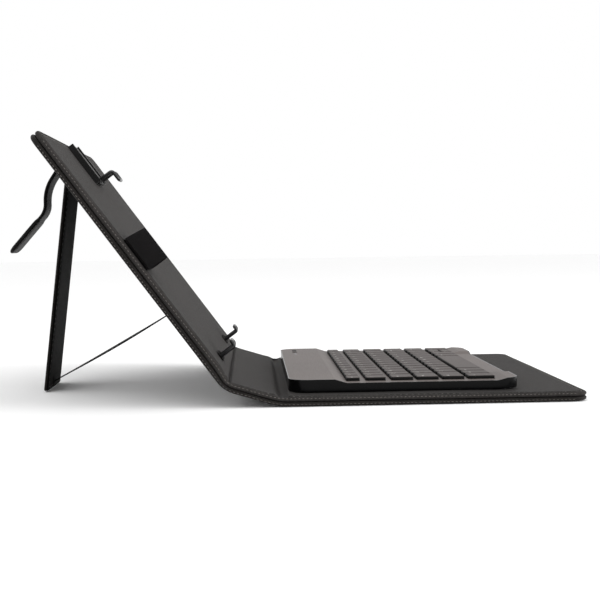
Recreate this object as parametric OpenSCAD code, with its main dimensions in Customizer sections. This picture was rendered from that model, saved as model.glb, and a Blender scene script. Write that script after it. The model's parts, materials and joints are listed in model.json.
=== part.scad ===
// Tablet keyboard case: a padded folio with a keyboard, wire hooks for a tablet,
// a kickstand with a stay ribbon, a stylus loop and a magnetic closure strap.
// Frame: X runs along the folds, +Y away from the user, +Z up.
// The origin is the centre of the keyboard panel's underside, on the table.

/* [Panels] */
// Width of the case along its folds
case_w = 270; // [262:1:290]
// Length of each padded panel from its fold to its free edge
panel_len = 200; // [198:1:215]
// Thickness of the padded panels and the spine
panel_t = 6.2; // [6:0.1:7]
// Thickness of the tablet panel, whose lining is padded more
tablet_t = 7.8; // [7:0.1:7.8]
// Radius of the panels' free corners
corner_r = 10; // [6:1:16]
// Distance between the two fold lines
spine_len = 36.6; // [35:0.2:44]

/* [Stance] */
// Rise of the spine above the table, in degrees
spine_tilt = 17; // [10:1:24]
// Lean of the tablet panel above the table, in degrees
tablet_tilt = 53.6; // [50:0.2:58]

/* [Kickstand] */
// Width of the kickstand leg
leg_w = 60; // [50:1:80]
// Thickness of the kickstand leg
leg_t = 3; // [2.6:0.1:3.4]
// Angle between the open leg and the tablet panel
leg_open = 43.3; // [40:0.1:46]
// Distance from the panel's free edge down to the leg's hinge
leg_hinge_drop = 17; // [16:0.5:20]
// Width of the stay ribbon
ribbon_w = 12; // [8:1:20]
// Distance from the fold up to the ribbon's root on the panel
ribbon_root = 58; // [50:1:64]

/* [Closure strap] */
// Width of the closure strap
strap_w = 27; // [20:1:32]
// Thickness of the strap
strap_t = 2; // [1.6:0.1:2.2]
// Thickness of the magnet tab
tab_t = 3.6; // [3.2:0.1:4.2]
// Length of the magnet tab
tab_len = 34; // [28:1:38]

/* [Tablet hooks] */
// Diameter of the hook wire
wire_d = 2.5; // [2:0.1:3]
// Height of the bottom hooks above the lining
low_hook_h = 13.5; // [12:0.5:14]
// Distance between the two bottom hooks
low_hook_gap = 142; // [120:1:160]
// Height of the top hook above its slider
top_hook_h = 12.6; // [11:0.2:13]
// Width of the slider strip that carries the top hook
slider_w = 28; // [26:1:32]
// Travel of the slider towards the free edge
slider_travel = 18; // [10:1:18]

/* [Stylus loop] */
// Width of the stylus loop along the panel
loop_w = 24.5; // [18:0.5:30]
// Outer radius of the loop's round end
loop_r = 6.1; // [5:0.1:6.3]

/* [Keyboard] */
// Width of the keyboard
kb_w = 234; // [230:1:240]
// Depth of the keyboard
kb_d = 151.8; // [150:0.2:158]
// Thickness of the keyboard at its deck
deck_h = 5.2; // [5:0.1:5.6]
// Thickness of the raised battery hump
hump_h = 7.7; // [7.2:0.1:8]
// Thickness of the raised front corners
wing_h = 6.8; // [6:0.1:7]
// Radius of the keyboard's corners
kb_r = 13; // [10:1:14]
// Width of one key unit
key_unit = 16.4; // [16:0.1:16.5]
// Gap between neighbouring key caps
key_gap = 1.9; // [1.6:0.1:2.2]
// Height of the caps above the deck
key_rise = 2.2; // [2:0.1:2.6]
// Travel of a key
key_travel = 1.5; // [1:0.1:1.5]

/* [Hidden] */
$fn = 48;
eps = 0.05;
// panels
hw = case_w / 2;
fold_gap = 1.5;
skin_t = 1;
cover_t = panel_t / 2;
board_inset = 6;
board_start = 9;
fold_y = panel_len / 2;
rear_fold_y = fold_y + spine_len * cos(spine_tilt);
rear_fold_z = spine_len * sin(spine_tilt);
// kickstand
leg_axis_y = panel_len - leg_hinge_drop;
leg_axis_z = -(leg_t / 2 + 0.3);
leg_lean = tablet_tilt + leg_open - 90;
leg_axis_h = rear_fold_z + leg_axis_y * sin(tablet_tilt) + leg_axis_z * cos(tablet_tilt);
leg_len = (leg_axis_h - leg_t / 2 * sin(leg_lean)) / cos(leg_lean) - 0.02;
ribbon_t = 0.6;
ribbon_foot = 5;
// strap
strap_axis_y = leg_axis_y + 10;
strap_axis_z = -2;
strap_drop = -110;
base_len = 11.6;
band_lead = 3;
bend_r1 = 30;
bend_a1 = 36;
bend_r2 = 14;
bend_a2 = 43.5;
arc_steps = 8;
band_mid = [band_lead + bend_r1 * sin(bend_a1), -bend_r1 * (1 - cos(bend_a1))];
joint_gap = 1.1;
end_trim = 4.6;
tab_taper = 2.2;
// hooks
wire_r = wire_d / 2;
low_hook_y = 12;
low_hook_w = 18;
low_hook_lip = 5;
top_hook_y = panel_len - 33.5;
top_hook_w = 20;
top_hook_lip = 8;
foot_t = 0.8;
foot_shift = 3.2;
guide_t = 0.8;
slider_t = 2.2;
slider_z = tablet_t + guide_t + 0.15;
slider_from = top_hook_y - 2.5;
slider_to = panel_len - 2;
guide_from = slider_from + 1;
guide_len = slider_to - guide_from;
guide_mid = guide_from + guide_len / 2;
// stylus loop
loop_y = 102;
loop_t = 1;
loop_reach = 34;
loop_edge = 1;
loop_steps = 20;
// latch
latch_y = panel_len - 26;
latch_size = [40, 22, 0.6];
// keyboard
kb_back = 7.2;
kb_foot = 1;
deck_t = 0.8;
wall_t = 2;
rim_t = 0.7;
floor_t = 1.2;
hump_flat = 30;
hump_end = 38;
wing_w = 46;
wing_ramp = 7;
wing_flat = 8;
cap_sink = 0.6;
cap_play = 0.25;
cap_bevel = 0.5;
// each row: distance of its centre from the keyboard's back edge, then its depth
row_place = [[42.9, 8.7], [58, 13], [75.5, 14.5], [92.5, 14.5], [109.5, 14.5], [128.3, 17.4]];
field_w = 13 * key_unit;
key_row_z = deck_h;
// internal layers of the keyboard, measured from its underside
plate_z = 1.3;
plate_t = 0.7;
domes_t = 0.7;
domes_z = deck_h - cap_sink - key_travel - 0.3 - domes_t;
matrix_w = 212;
matrix_d = 104;
matrix_y = 86.4;
screw_spots = [[-108, 12], [108, 12], [-110.6, 67], [110.6, 67], [-110.6, 119], [110.6, 119]];
foot_spots = [[-97, 14], [97, 14], [-97, 138], [97, 138]];
magnet_spots = [[-85, 143], [85, 143]];
panel_magnet_r = 5;
kb_magnet_r = 3.6;

// ---- places -------------------------------------------------------------

// local y runs from the front fold towards the user, local z up from the skin
module on_keyboard_panel() {
    translate([0, fold_y, 0]) mirror([0, 1, 0]) children();
}

// local y runs from the front fold towards the rear fold
module on_spine() {
    translate([0, fold_y, 0]) rotate([spine_tilt, 0, 0]) children();
}

// local y runs from the rear fold towards the free edge, local z towards the user
module on_tablet_panel() {
    translate([0, rear_fold_y, rear_fold_z]) rotate([tablet_tilt, 0, 0]) children();
}

// local y runs up from the leg's foot towards its hinge, which is at y = 0
module on_leg() {
    on_tablet_panel() translate([0, leg_axis_y, leg_axis_z]) rotate([leg_open, 0, 0]) children();
}

// local x runs along the strap and local y across its thickness, in the YZ plane
module strap_slice(width) {
    on_tablet_panel() translate([0, strap_axis_y, strap_axis_z])
        rotate([90, 0, 90]) translate([0, 0, -width / 2]) linear_extrude(width)
        rotate(strap_drop) children();
}

// local y runs from the keyboard's back edge towards the user, z up from its underside
module on_keyboard() {
    on_keyboard_panel() translate([0, kb_back, panel_t + kb_foot]) children();
}

// ---- shared shapes ------------------------------------------------------

module rounded_square(w, l, r) {
    square([w - 2 * r, l], center = true);
    square([w, l - 2 * r], center = true);
    for (sx = [-1, 1], sy = [-1, 1])
        translate([sx * (w / 2 - r), sy * (l / 2 - r)]) circle(r);
}

// outline of a panel whose far corners are round
module free_outline(inset = 0, start = 0) {
    w = case_w - 2 * inset;
    r = max(corner_r - inset, 1.5);
    end = panel_len - inset;
    translate([-w / 2, start]) square([w, end - r - start]);
    translate([-w / 2 + r, start]) square([w - 2 * r, end - start]);
    for (s = [-1, 1]) translate([s * (w / 2 - r), end - r]) circle(r);
}

module spine_outline(inset = 0, start = 0) {
    translate([-hw + inset, start]) square([case_w - 2 * inset, spine_len - 2 * start]);
}

// wedge that bevels a panel's edge at a fold, so that the fold can close to a right angle
module fold_bevel() {
    rotate([90, 0, 90]) translate([0, 0, -case_w]) linear_extrude(2 * case_w)
        polygon([[-3, -1], [fold_gap - 1, -1], [fold_gap + tablet_t + 1, tablet_t + 1], [-3, tablet_t + 1]]);
}

module far_fold_bevel() {
    translate([0, spine_len, 0]) mirror([0, 1, 0]) fold_bevel();
}

module cover_layer() {
    difference() {
        linear_extrude(cover_t) free_outline();
        fold_bevel();
        translate([0, 0, skin_t]) linear_extrude(panel_t) free_outline(board_inset, board_start);
    }
}

module board_layer() {
    translate([0, 0, skin_t + eps]) linear_extrude(cover_t - skin_t - 2 * eps)
        free_outline(board_inset + 0.3, board_start + 0.3);
}

module lining_layer(t) {
    difference() {
        translate([0, 0, cover_t]) linear_extrude(t - cover_t) free_outline();
        fold_bevel();
    }
}

// flexible strip in the gap of a fold that turns by angle
module fold_strip(angle) {
    edge = fold_gap - 0.1;
    rise = 3;
    rotate([90, 0, 90]) translate([0, 0, -hw]) linear_extrude(case_w)
        polygon([[-edge, 0], [0, 0], [edge * cos(angle), edge * sin(angle)],
                 [(edge + rise) * cos(angle) - rise * sin(angle), (edge + rise) * sin(angle) + rise * cos(angle)],
                 [0, rise - 0.6], [-edge - rise, rise]]);
}

module rod(from, to, r) {
    d = to - from;
    translate(from) rotate([0, acos(d[2] / norm(d)), atan2(d[1], d[0])]) cylinder(h = norm(d), r = r);
}

// wire bent into a U that stands on the face, with its lip turned along y
module wire_hook(w, low, high, lip) {
    top = high - wire_r;
    half = w / 2 - wire_r;
    for (s = [-1, 1]) {
        rod([s * half, 0, low], [s * half, 0, top], wire_r);
        translate([s * half, 0, top]) sphere(wire_r);
        rod([s * half, 0, top], [s * half, lip, top], wire_r);
        translate([s * half, lip, top]) sphere(wire_r);
    }
    rod([-half, lip, top], [half, lip, top], wire_r);
}

// ---- padded panels ------------------------------------------------------

module keyboard_panel_cover() {
    color("#2a2928") on_keyboard_panel() cover_layer();
}

module keyboard_panel_board() {
    color("#8a7f6c") on_keyboard_panel() difference() {
        board_layer();
        latch_pocket(0.3);
        panel_magnet_discs(0.2);
    }
}

module keyboard_panel_lining() {
    color("#3c3a39") on_keyboard_panel() lining_layer(panel_t);
}

module latch_pocket(play) {
    translate([0, latch_y, skin_t + latch_size[2] / 2 + 0.1])
        cube([latch_size[0] + play, latch_size[1] + play, latch_size[2] + play], center = true);
}

module latch_plate() {
    color("silver") on_keyboard_panel() latch_pocket(0);
}

module panel_magnet_discs(play) {
    for (p = magnet_spots)
        translate([p[0], kb_back + p[1], skin_t + 0.4 - play])
            cylinder(h = 1.4 + 2 * play, r = panel_magnet_r + play);
}

module panel_magnets() {
    color("silver") on_keyboard_panel() panel_magnet_discs(0);
}

module spine_cover() {
    color("#2a2928") on_spine() difference() {
        linear_extrude(cover_t) spine_outline();
        fold_bevel();
        far_fold_bevel();
        translate([0, 0, skin_t]) linear_extrude(panel_t) spine_outline(board_inset, board_start);
    }
}

module spine_board() {
    color("#8a7f6c") on_spine() translate([0, 0, skin_t + eps])
        linear_extrude(cover_t - skin_t - 2 * eps) spine_outline(board_inset + 0.3, board_start + 0.3);
}

module spine_lining() {
    color("#3c3a39") on_spine() difference() {
        translate([0, 0, cover_t]) linear_extrude(panel_t - cover_t) spine_outline();
        fold_bevel();
        far_fold_bevel();
    }
}

module tablet_panel_cover() {
    color("#2a2928") on_tablet_panel() cover_layer();
}

// flat foot under the lining that a bottom hook is welded to
module hook_feet(play) {
    for (s = [-1, 1]) translate([s * low_hook_gap / 2, low_hook_y + foot_shift, cover_t - foot_t / 2 - eps])
        cube([28 + play, 10 + play, foot_t + play], center = true);
}

module tablet_panel_board() {
    color("#8a7f6c") on_tablet_panel() difference() {
        board_layer();
        hook_feet(0.4);
    }
}

module tablet_panel_lining() {
    color("#4a4847") on_tablet_panel() difference() {
        lining_layer(tablet_t);
        for (s = [-1, 1]) translate([s * low_hook_gap / 2, low_hook_y, tablet_t / 2])
            cube([low_hook_w + 1, wire_d + 1, tablet_t + 4], center = true);
    }
}

module front_fold() {
    color("#242322") translate([0, fold_y, 0]) fold_strip(spine_tilt);
}

module rear_fold() {
    color("#242322") translate([0, rear_fold_y, rear_fold_z]) rotate([spine_tilt, 0, 0])
        fold_strip(tablet_tilt - spine_tilt);
}

// ---- tablet hooks -------------------------------------------------------

module bottom_hook(side) {
    color("#17171a") on_tablet_panel() translate([side * low_hook_gap / 2, low_hook_y, 0]) {
        translate([0, foot_shift, cover_t - foot_t / 2 - eps]) cube([28, 10, foot_t], center = true);
        wire_hook(low_hook_w, cover_t - foot_t / 2, tablet_t + low_hook_h, low_hook_lip);
    }
}

module bottom_hook_left() {
    bottom_hook(-1);
}

module bottom_hook_right() {
    bottom_hook(1);
}

module slider_guide() {
    color("#141414") on_tablet_panel() difference() {
        translate([0, guide_mid, tablet_t + guide_t / 2]) cube([slider_w + 6, guide_len, guide_t], center = true);
        translate([0, guide_mid, tablet_t]) cube([8, slider_travel + 9, 4], center = true);
    }
    color("#141414") on_tablet_panel() for (s = [-1, 1]) {
        translate([s * (slider_w / 2 + 1.8), guide_mid, tablet_t + 2]) cube([2.4, guide_len, 4], center = true);
        translate([s * (slider_w / 2 + 0.8), guide_mid, tablet_t + 3.8]) cube([4.4, guide_len, 0.8], center = true);
    }
}

module hook_slider() {
    color("#1b1b1c") on_tablet_panel() difference() {
        translate([0, (slider_from + slider_to) / 2, slider_z]) linear_extrude(slider_t)
            rounded_square(slider_w, slider_to - slider_from, 2);
        for (s = [-1, 1]) translate([s * (top_hook_w / 2 - wire_r), top_hook_y, slider_z + 0.8])
            cylinder(h = 5, r = wire_r + 0.05);
    }
}

module top_hook() {
    color("#17171a") on_tablet_panel() translate([0, top_hook_y, 0])
        wire_hook(top_hook_w, slider_z + 0.85, slider_z + slider_t + top_hook_h, -top_hook_lip);
}

module slider_elastic() {
    color("#202020") on_tablet_panel()
        translate([0, guide_mid, tablet_t + 0.35]) cube([6, slider_travel + 6, 0.5], center = true);
}

// ---- stylus loop --------------------------------------------------------

// teardrop: two lines from the tail, joined by the far side of a circle round mid
function teardrop(tail, mid, r) =
    let (d = mid - tail, way = atan2(d[1], d[0]), open = asin(r / norm(d)))
    concat([tail], [for (i = [0:loop_steps]) let (a = way - 90 - open + i * (180 + 2 * open) / loop_steps)
        mid + r * [cos(a), sin(a)]]);

module stylus_loop() {
    tail = [-hw + loop_edge, tablet_t + 0.7];
    mid = [-hw + loop_edge + loop_reach, tablet_t + loop_r + 0.3];
    way = (mid - tail) / norm(mid - tail);
    inner = tail + way * loop_t * norm(mid - tail) / loop_r;
    color("#1c1c1c") on_tablet_panel() translate([0, loop_y, 0]) rotate([90, 0, 0])
        translate([0, 0, -loop_w / 2]) linear_extrude(loop_w) difference() {
            polygon(teardrop(tail, mid, loop_r));
            polygon(teardrop(inner, mid, loop_r - loop_t));
        }
}

// ---- kickstand ----------------------------------------------------------

module kickstand_leg() {
    color("#262524") on_leg() difference() {
        union() {
            translate([-leg_w / 2, -leg_len, -leg_t / 2]) cube([leg_w, leg_len, leg_t]);
            rotate([0, 90, 0]) translate([0, 0, -leg_w / 2]) cylinder(h = leg_w, r = leg_t / 2);
        }
        translate([0, -leg_len / 2, 0]) cube([leg_w - 8, leg_len - 12, 1.3], center = true);
    }
}

module kickstand_board() {
    color("#8a7f6c") on_leg() translate([0, -leg_len / 2, 0])
        cube([leg_w - 8.4, leg_len - 12.4, 1.2], center = true);
}

module kickstand_tape() {
    color("#1e1e1e") on_tablet_panel()
        translate([-leg_w / 2, leg_axis_y + 2, -0.7]) cube([leg_w, leg_hinge_drop - 5, 0.65]);
}

// flat ribbon that stops the leg from opening further
module stay_ribbon() {
    root = [rear_fold_y, rear_fold_z]
        + ribbon_root * [cos(tablet_tilt), sin(tablet_tilt)]
        + 0.4 * [sin(tablet_tilt), -cos(tablet_tilt)];
    hinge = [rear_fold_y, rear_fold_z]
        + leg_axis_y * [cos(tablet_tilt), sin(tablet_tilt)]
        + leg_axis_z * [-sin(tablet_tilt), cos(tablet_tilt)];
    foot = hinge + (leg_len - ribbon_foot) * [sin(leg_lean), -cos(leg_lean)]
        - (leg_t / 2 + 0.4) * [cos(leg_lean), sin(leg_lean)];
    d = root - foot;
    color("#111111") translate([0, foot[0], foot[1]]) rotate([atan2(d[1], d[0]), 0, 0])
        translate([-ribbon_w / 2, 0, -ribbon_t / 2]) cube([ribbon_w, norm(d), ribbon_t]);
}

// ---- closure strap ------------------------------------------------------

module strap_base() {
    color("#242322") strap_slice(strap_w) {
        circle(strap_t / 2);
        translate([0, -strap_t / 2]) square([base_len - joint_gap, strap_t]);
    }
}

// point of an arc that starts at the origin along x, after a turn of angle to side 1 or -1
function arc_point(r, angle, side, off = 0) =
    [(r - side * off) * sin(angle), side * (r - (r - side * off) * cos(angle))];

function turned(p, angle) = [p[0] * cos(angle) - p[1] * sin(angle), p[0] * sin(angle) + p[1] * cos(angle)];

// edge of the band, off to the left of its centreline
function band_edge(off) = concat(
    [[joint_gap, off]],
    [for (i = [0:arc_steps]) [band_lead, 0] + arc_point(bend_r1, bend_a1 * i / arc_steps, -1, off)],
    [for (i = [1:arc_steps]) band_mid
        + turned(arc_point(bend_r2, (bend_a2 - end_trim) * i / arc_steps, 1, off), -bend_a1)]);

module strap_band() {
    near = band_edge(strap_t / 2);
    far = band_edge(-strap_t / 2);
    color("#242322") strap_slice(strap_w) translate([base_len, 0])
        polygon(concat(near, [for (i = [len(far) - 1:-1:0]) far[i]]));
}

// children are placed where the band ends, pointing along the tab
module at_tab() {
    translate([base_len, 0] + band_mid + turned(arc_point(bend_r2, bend_a2, 1), -bend_a1))
        rotate(bend_a2 - bend_a1) children();
}

module strap_tab() {
    color("#1d1c1c") strap_slice(strap_w + 2) at_tab() difference() {
        polygon([[joint_gap, -strap_t / 2], [joint_gap + tab_taper, -tab_t / 2], [tab_len, -tab_t / 2],
                 [tab_len, tab_t / 2], [joint_gap + tab_taper, tab_t / 2], [joint_gap, strap_t / 2]]);
        translate([8, -0.85]) square([tab_len - 13, 1.7]);
    }
}

module tab_magnet() {
    color("silver") strap_slice(strap_w - 5) at_tab() translate([8.1, -0.75]) square([tab_len - 13.2, 1.5]);
}

// ---- keyboard body ------------------------------------------------------

module kb_outline(inset = 0) {
    translate([0, kb_d / 2]) rounded_square(kb_w - 2 * inset, kb_d - 2 * inset, kb_r - inset);
}

// solid under the keyboard's top surface, lowered by drop
module kb_body(drop, inset, low) {
    intersection() {
        translate([0, 0, low]) linear_extrude(2 * hump_h) kb_outline(inset);
        union() {
            rotate([90, 0, 90]) translate([0, 0, -kb_w]) linear_extrude(2 * kb_w)
                polygon([[-1, -1], [-1, hump_h - drop], [hump_flat, hump_h - drop],
                         [hump_end, deck_h - drop], [kb_d + 1, deck_h - drop], [kb_d + 1, -1]]);
            for (s = [0, 1]) mirror([s, 0, 0]) intersection() {
                rotate([90, 0, 90]) linear_extrude(kb_w)
                    polygon([[kb_d - wing_flat - wing_ramp, deck_h - drop - 1],
                             [kb_d - wing_flat - wing_ramp, deck_h - drop],
                             [kb_d - wing_flat, wing_h - drop], [kb_d + 1, wing_h - drop],
                             [kb_d + 1, deck_h - drop - 1]]);
                rotate([90, 0, 0]) translate([0, 0, -2 * kb_d]) linear_extrude(3 * kb_d)
                    polygon([[kb_w / 2 - wing_w, deck_h - drop - 1], [kb_w / 2 - wing_w, deck_h - drop],
                             [kb_w / 2 - wing_w + wing_ramp, wing_h - drop], [kb_w, wing_h - drop],
                             [kb_w, deck_h - drop - 1]]);
            }
        }
    }
}

module base_holes() {
    for (p = screw_spots) translate([p[0], p[1], -1]) {
        cylinder(h = 4, r = 0.8);
        cylinder(h = 1.6, r = 1.6);
    }
}

module keyboard_base() {
    color("#0c0c0d") on_keyboard() difference() {
        kb_body(0, 0, 0);
        kb_body(-2, wall_t, floor_t);
        difference() {
            kb_body(-2, rim_t, floor_t);
            kb_body(deck_t + 0.02, 0, -1);
        }
        base_holes();
        translate([70, 2, 4]) cube([9.2, 8, 3.4], center = true);
    }
}

module keyboard_deck() {
    color("#6b625c") on_keyboard() {
        difference() {
            kb_body(0, rim_t + 0.05, 0);
            kb_body(deck_t, -1, -5);
            for (k = all_keys()) key_box(k, cap_play, -2, 5);
            switch_slot();
            translate([84, 11, 0]) cylinder(h = 12, r = 2.15);
            for (i = [0:2]) translate([62 + 5 * i, 11, 0]) cylinder(h = 12, r = 0.65);
        }
        for (p = screw_spots) translate([p[0], p[1], floor_t + 0.1]) difference() {
            cylinder(h = (p[1] < hump_flat ? hump_h : deck_h) - deck_t - floor_t, r = 1.9);
            translate([0, 0, -1]) cylinder(h = 3.5, r = 0.75);
        }
    }
}

module switch_slot() {
    translate([98, 11, hump_h]) cube([9, 3.6, 5], center = true);
}

module battery() {
    color("#b8bcc4") on_keyboard() translate([-30, 17, 1.3 + 1.7]) cube([90, 22, 3.4], center = true);
}

module circuit_board() {
    color("#1d6b3a") on_keyboard() translate([62, 15, 1.4]) {
        linear_extrude(0.8) translate([0, 0]) square([70, 20], center = true);
        translate([-14, 2, 0.8]) linear_extrude(0.9) square([9, 9], center = true);
        translate([-26, -3, 0.8]) linear_extrude(0.7) square([6, 5], center = true);
    }
}

module key_backplate() {
    color("#9a9ea3") on_keyboard() translate([0, matrix_y, plate_z + plate_t / 2])
        cube([matrix_w, matrix_d, plate_t], center = true);
}

module dome_sheet() {
    color("#d8d6d0") on_keyboard() translate([0, matrix_y, domes_z + domes_t / 2])
        cube([matrix_w, matrix_d, domes_t], center = true);
}

module usb_port() {
    color("#c2c4c7") on_keyboard() translate([70, 3.2, 4]) difference() {
        cube([7.6, 6, 2.8], center = true);
        translate([0, -1, 0]) cube([6.8, 6, 2], center = true);
    }
}

module power_switch() {
    color("#101010") on_keyboard() translate([95.2, 11, hump_h - 1.1]) cube([2.6, 3, 3], center = true);
}

module pairing_button() {
    color("#151515") on_keyboard() translate([84, 11, hump_h - 2.4]) cylinder(h = 2.7, r = 2);
}

module status_leds() {
    color("#7fd0ff") on_keyboard() for (i = [0:2])
        translate([62 + 5 * i, 11, hump_h - 1.8]) cylinder(h = 1.8, r = 0.6);
}

module rubber_feet() {
    color("#202020") on_keyboard() for (p = foot_spots)
        translate([p[0], p[1], -kb_foot]) linear_extrude(kb_foot) rounded_square(16, 6, 2.5);
}

module base_screws() {
    color("#a8a8a8") on_keyboard() for (p = screw_spots) translate([p[0], p[1], 0]) {
        translate([0, 0, -0.1]) cylinder(h = 0.65, r = 1.4);
        cylinder(h = 3.4, r = 0.7);
    }
}

module keyboard_magnets() {
    color("silver") on_keyboard() for (p = magnet_spots)
        translate([p[0], p[1] + 2.2, floor_t + 0.05]) cylinder(h = 1.2, r = kb_magnet_r);
}

// ---- keys ---------------------------------------------------------------

// a key is [row, start in key units, width in key units, share of the depth, side of the row]
function run(row, start, count, width) = [for (i = [0:count - 1]) [row, start + i * width, width, 1, 0]];
function esc_keys() = run(0, 0, 1, 1);
function f_keys() = run(0, 1, 12, 1);
function digit_keys() = run(1, 0, 12, 0.97);
function backspace_keys() = run(1, 11.64, 1, 1.36);
function tab_keys() = run(2, 0, 1, 1.2);
function top_keys() = run(2, 1.2, 12, 0.9833);
function caps_keys() = run(3, 0, 1, 1.45);
function home_keys() = run(3, 1.45, 10, 1);
function enter_keys() = run(3, 11.45, 1, 1.55);
function shift_l_keys() = run(4, 0, 1, 1.75);
function bottom_keys() = run(4, 1.75, 10, 1);
function shift_r_keys() = run(4, 11.75, 1, 1.25);
function mod_keys() = concat(run(5, 0, 3, 1.06), run(5, 8.74, 1, 1.02));
function space_keys() = run(5, 3.18, 1, 5.56);
function left_keys() = run(5, 9.76, 1, 1.08);
function up_keys() = [[5, 10.84, 1.08, 0.5, -1]];
function down_keys() = [[5, 10.84, 1.08, 0.5, 1]];
function right_keys() = run(5, 11.92, 1, 1.08);
function all_keys() = concat(esc_keys(), f_keys(), digit_keys(), backspace_keys(), tab_keys(),
    top_keys(), caps_keys(), home_keys(), enter_keys(), shift_l_keys(), bottom_keys(),
    shift_r_keys(), mod_keys(), space_keys(), left_keys(), up_keys(), down_keys(), right_keys());

// box of a key cap, grown by play, from low to high above the deck
module key_box(k, play, low, high) {
    depth = row_place[k[0]][1];
    part = k[3] == 1 ? depth : depth / 2 - 0.5;
    side = k[4] * (depth / 4 + 0.25);
    x0 = -field_w / 2 + k[1] * key_unit + key_gap / 2 - play;
    w = k[2] * key_unit - key_gap + 2 * play;
    y = row_place[k[0]][0] + side;
    translate([x0, y - part / 2 - play, key_row_z + low]) cube([w, part + 2 * play, high - low]);
}

module key_caps(keys) {
    color("#4a4441") on_keyboard() for (k = keys) {
        key_box(k, 0, -cap_sink, key_rise - 0.8);
        key_box(k, -cap_bevel, -cap_sink + 0.2, key_rise);
    }
}

module esc_key() { key_caps(esc_keys()); }
module function_keys() { key_caps(f_keys()); }
module number_keys() { key_caps(digit_keys()); }
module backspace_key() { key_caps(backspace_keys()); }
module tab_key() { key_caps(tab_keys()); }
module top_letter_keys() { key_caps(top_keys()); }
module caps_key() { key_caps(caps_keys()); }
module home_letter_keys() { key_caps(home_keys()); }
module enter_key() { key_caps(enter_keys()); }
module shift_left_key() { key_caps(shift_l_keys()); }
module bottom_letter_keys() { key_caps(bottom_keys()); }
module shift_right_key() { key_caps(shift_r_keys()); }
module modifier_keys() { key_caps(mod_keys()); }
module space_key() { key_caps(space_keys()); }
module left_arrow_key() { key_caps(left_keys()); }
module up_arrow_key() { key_caps(up_keys()); }
module down_arrow_key() { key_caps(down_keys()); }
module right_arrow_key() { key_caps(right_keys()); }

// ---- selection ----------------------------------------------------------

keyboard_panel_cover();
keyboard_panel_board();
keyboard_panel_lining();
spine_cover();
spine_board();
spine_lining();
tablet_panel_cover();
tablet_panel_board();
tablet_panel_lining();
front_fold();
rear_fold();
latch_plate();
panel_magnets();
bottom_hook_left();
bottom_hook_right();
slider_guide();
hook_slider();
top_hook();
slider_elastic();
stylus_loop();
kickstand_leg();
kickstand_board();
kickstand_tape();
stay_ribbon();
strap_base();
strap_band();
strap_tab();
tab_magnet();
keyboard_base();
keyboard_deck();
battery();
circuit_board();
key_backplate();
dome_sheet();
usb_port();
power_switch();
pairing_button();
status_leds();
rubber_feet();
base_screws();
keyboard_magnets();
esc_key();
function_keys();
number_keys();
backspace_key();
tab_key();
top_letter_keys();
caps_key();
home_letter_keys();
enter_key();
shift_left_key();
bottom_letter_keys();
shift_right_key();
modifier_keys();
space_key();
left_arrow_key();
up_arrow_key();
down_arrow_key();
right_arrow_key();
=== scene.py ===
# Looks of the tablet keyboard case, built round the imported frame. All lengths are in metres.
import json
import math

import bmesh
import bpy
from mathutils import Matrix, Vector, noise


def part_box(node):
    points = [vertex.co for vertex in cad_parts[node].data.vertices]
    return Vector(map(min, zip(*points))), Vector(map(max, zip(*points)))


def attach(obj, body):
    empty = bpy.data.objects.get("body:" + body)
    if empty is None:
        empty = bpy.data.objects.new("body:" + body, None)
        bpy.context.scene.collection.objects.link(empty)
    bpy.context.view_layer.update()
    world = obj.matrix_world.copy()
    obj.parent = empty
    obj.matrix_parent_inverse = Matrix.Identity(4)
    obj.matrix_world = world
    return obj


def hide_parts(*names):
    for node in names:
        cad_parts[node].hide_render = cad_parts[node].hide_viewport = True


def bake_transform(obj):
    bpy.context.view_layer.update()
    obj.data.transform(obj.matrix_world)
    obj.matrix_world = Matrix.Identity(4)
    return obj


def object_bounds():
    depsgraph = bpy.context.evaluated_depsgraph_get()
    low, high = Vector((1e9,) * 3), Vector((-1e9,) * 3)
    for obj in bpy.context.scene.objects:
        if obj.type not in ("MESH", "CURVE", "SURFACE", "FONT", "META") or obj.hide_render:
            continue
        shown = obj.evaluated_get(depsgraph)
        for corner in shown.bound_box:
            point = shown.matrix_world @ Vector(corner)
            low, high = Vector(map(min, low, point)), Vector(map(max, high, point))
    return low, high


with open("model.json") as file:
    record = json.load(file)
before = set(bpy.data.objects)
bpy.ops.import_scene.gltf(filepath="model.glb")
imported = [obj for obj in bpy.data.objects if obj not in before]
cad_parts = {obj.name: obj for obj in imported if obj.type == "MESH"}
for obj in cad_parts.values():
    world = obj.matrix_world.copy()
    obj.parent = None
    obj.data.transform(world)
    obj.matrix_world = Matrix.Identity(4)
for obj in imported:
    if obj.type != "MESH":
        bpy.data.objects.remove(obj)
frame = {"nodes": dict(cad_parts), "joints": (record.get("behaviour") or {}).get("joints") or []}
cad_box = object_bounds()

MM = 0.001


def mm(*points):
    """Points given in millimetres, in metres."""
    return [tuple(value * MM for value in point) for point in points]


# ---- places taken from the frame -----------------------------------------

joints = {joint["name"]: joint for joint in frame["joints"]}

fold1 = Vector(joints["front_fold_hinge"]["pos_m"])
fold2 = Vector(joints["rear_fold_hinge"]["pos_m"])
spine_tilt = math.radians(-joints["front_fold_hinge"]["range_deg"][0])
tablet_tilt = spine_tilt + math.radians(-joints["rear_fold_hinge"]["range_deg"][0])
spine_len = (fold2 - fold1).length
half_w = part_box("spine_cover")[1].x
panel_len = fold1.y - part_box("keyboard_panel_cover")[0].y
panel_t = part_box("keyboard_panel_lining")[1].z
corner_r = 10 * MM

leg_axis = Vector(joints["kickstand_hinge"]["pos_m"])
leg_open = math.radians(joints["kickstand_hinge"]["range_deg"][1])
strap_points = [Vector(joints[n]["pos_m"]) for n in
                ("strap_root_hinge", "strap_middle_hinge", "strap_end_hinge")]


def tilt_matrix(origin, tilt):
    return Matrix.Translation(origin) @ Matrix.Rotation(tilt, 4, "X")


# local y up the tablet panel from its fold, local z out of its lining
tablet_place = tilt_matrix(fold2, tablet_tilt)
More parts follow.
